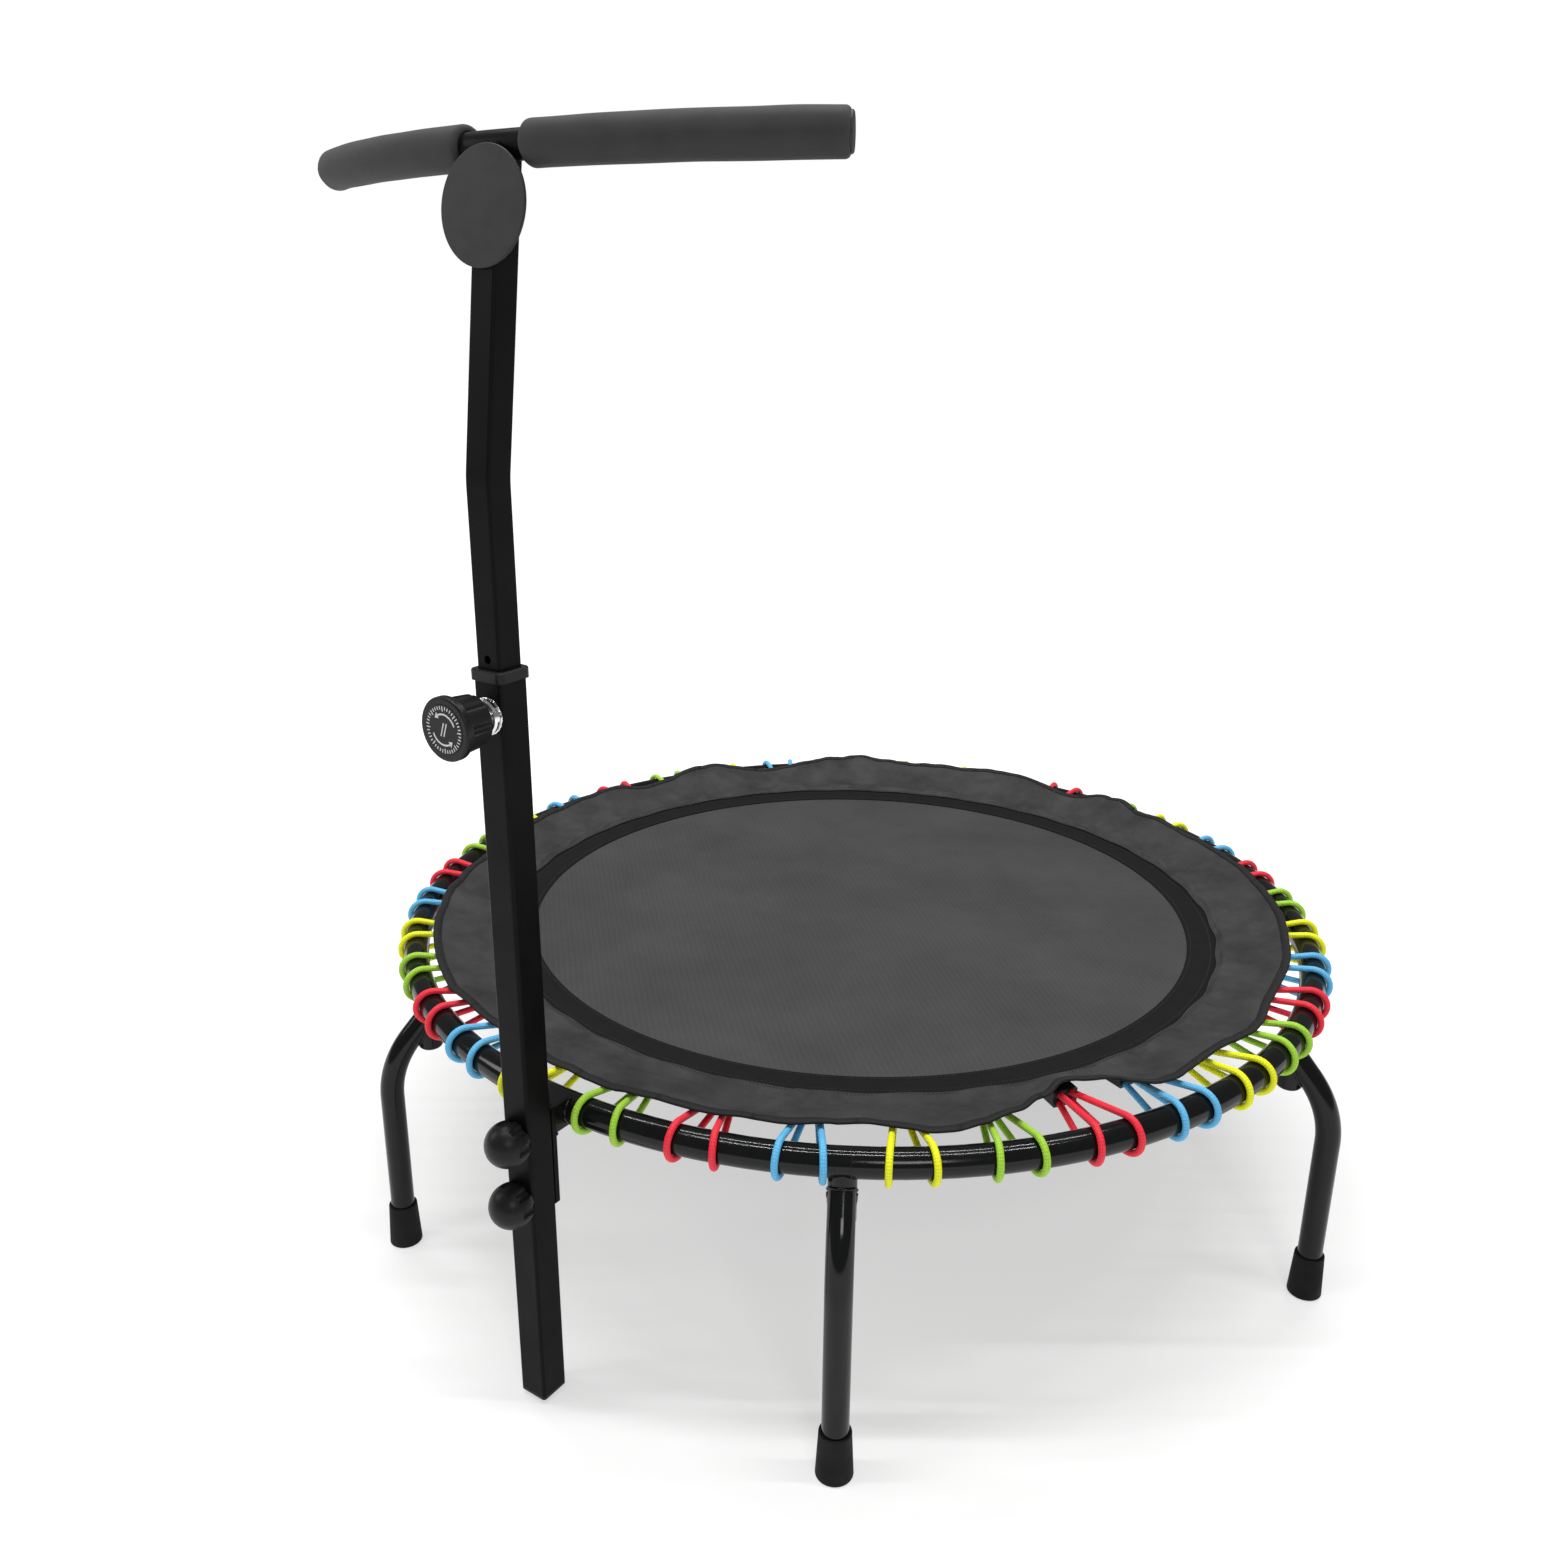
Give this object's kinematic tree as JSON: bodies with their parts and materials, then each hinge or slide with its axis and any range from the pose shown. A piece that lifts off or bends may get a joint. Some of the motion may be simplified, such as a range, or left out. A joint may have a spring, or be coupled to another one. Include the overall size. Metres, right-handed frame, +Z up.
{
  "type": "mini trampoline",
  "caption": "Round bungee-cord rebounder with curved legs, woven mat, edge skirt and a height-adjustable square mast carrying a padded handlebar.",
  "frame": {"origin": "on the ring's axis, at the floor under the feet", "axes": "+Z up; -Y towards the mast and the badge's face; +X completes the right-handed frame"},
  "size_m": [1.1648, 1.1673, 1.1135],
  "materials": {
    "frame_paint": "gloss black powder coat",
    "post_paint": "satin black powder coat",
    "foot_rubber": "matte moulded rubber",
    "black_plastic": "moulded black plastic",
    "knob_mark": "printed white marks on black plastic",
    "zinc": "bright zinc plate",
    "chrome_plate": "chrome plate",
    "grip_foam": "closed-cell foam",
    "mat_weave": "fine woven polypropylene",
    "webbing": "black polyester webbing",
    "skirt_cloth": "charcoal coated polyester",
    "piping_cloth": "black bias binding",
    "cord_red": "braided sheath",
    "cord_blue": "braided sheath",
    "cord_yellow": "braided sheath",
    "cord_green": "braided sheath"
  },
  "bodies": {
    "frame": {"rim_front_half": "frame_paint", "rim_rear_half": "frame_paint", "rim_joint_sleeves": "frame_paint", "leg_spigots": "frame_paint", "leg_screws": "frame_paint", "leg_1": "frame_paint", "leg_2": "frame_paint", "leg_3": "frame_paint", "leg_4": "frame_paint", "leg_5": "frame_paint", "leg_6": "frame_paint", "foot_1": "foot_rubber", "foot_2": "foot_rubber", "foot_3": "foot_rubber", "foot_4": "foot_rubber", "foot_5": "foot_rubber", "foot_6": "foot_rubber", "leg_sleeve_plugs": "black_plastic", "mast_arm": "frame_paint", "mast_plate": "frame_paint", "mast_weld_nuts": "zinc", "lower_post": "post_paint", "post_foot_plug": "black_plastic", "post_collar": "black_plastic", "pin_weld_nut": "chrome_plate", "cords_red": "cord_red", "cords_blue": "cord_blue", "cords_yellow": "cord_yellow", "cords_green": "cord_green"},
    "mat": {"jump_mat": "mat_weave", "mat_band": "webbing", "cord_clips": "black_plastic", "clip_tabs": "webbing", "skirt": "skirt_cloth", "skirt_piping": "piping_cloth"},
    "sliding_mast": {"upper_mast": "post_paint", "mast_end_plug": "black_plastic", "handlebar_tube": "post_paint", "grip_left": "grip_foam", "grip_right": "grip_foam", "bar_plug_left": "black_plastic", "bar_plug_right": "black_plastic", "badge_disc": "black_plastic", "badge_screws": "zinc"},
    "pin_body": {"pin_barrel": "chrome_plate", "pin_spring": "chrome_plate"},
    "pull_knob": {"pin_plunger": "zinc", "height_knob": "black_plastic", "knob_cap": "knob_mark"},
    "upper_clamp": {"clamp_knob_upper": "black_plastic", "clamp_stud_upper": "zinc"},
    "lower_clamp": {"clamp_knob_lower": "black_plastic", "clamp_stud_lower": "zinc"}
  },
  "joints": [
    {"name": "mat_bounce", "type": "slide", "parent": "frame", "child": "mat", "axis": [0, 0, -1], "range_m": [0, 0.12], "stiffness_N_per_m": 5000, "springref_m": -0.008, "deforming": ["cords_red", "cords_blue", "cords_yellow", "cords_green"]},
    {"name": "height_slide", "type": "slide", "parent": "frame", "child": "sliding_mast", "axis": [0, 0, 1], "range_m": [-0.045, 0.135]},
    {"name": "knob_turn", "type": "hinge", "parent": "frame", "child": "pin_body", "pos_m": [0, -0.58, 0.68], "axis": [0, -1, 0], "range_deg": [0, 360]},
    {"name": "knob_pull", "type": "slide", "parent": "pin_body", "child": "pull_knob", "axis": [0, -1, 0], "range_m": [0, 0.008], "stiffness_N_per_m": 900, "springref_m": -0.004, "deforming": ["pin_spring"]},
    {"name": "upper_clamp_turn", "type": "hinge", "parent": "frame", "child": "upper_clamp", "pos_m": [0, -0.58, 0.289], "axis": [0, -1, 0], "continuous": true},
    {"name": "lower_clamp_turn", "type": "hinge", "parent": "frame", "child": "lower_clamp", "pos_m": [0, -0.58, 0.225], "axis": [0, -1, 0], "continuous": true}
  ]
}
